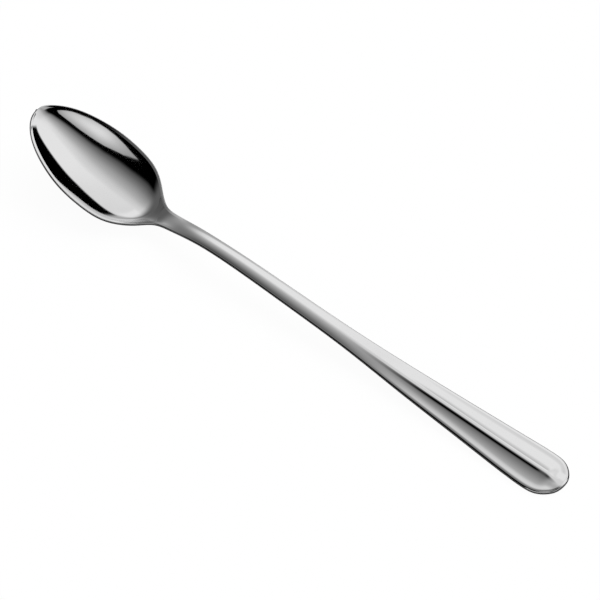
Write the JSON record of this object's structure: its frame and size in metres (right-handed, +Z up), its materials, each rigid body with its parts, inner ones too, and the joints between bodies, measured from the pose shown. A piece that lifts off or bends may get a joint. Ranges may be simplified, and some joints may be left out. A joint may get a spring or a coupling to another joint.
{
  "type": "iced tea spoon",
  "caption": "Long-handled iced tea spoon in polished stainless steel: egg-shaped bowl, slim arched shank, flared handle with a centre rib between hollow panels and a rounded end.",
  "frame": {"origin": "centre of the footprint, on the surface that the spoon stands on", "axes": "+X from the bowl tip towards the handle end, +Z up out of the open side of the bowl"},
  "size_m": [0.1912, 0.0268, 0.0161],
  "materials": {
    "polished_steel": "mirror polished stainless steel"
  },
  "bodies": {
    "root": {"spoon": "polished_steel"}
  },
  "joints": []
}
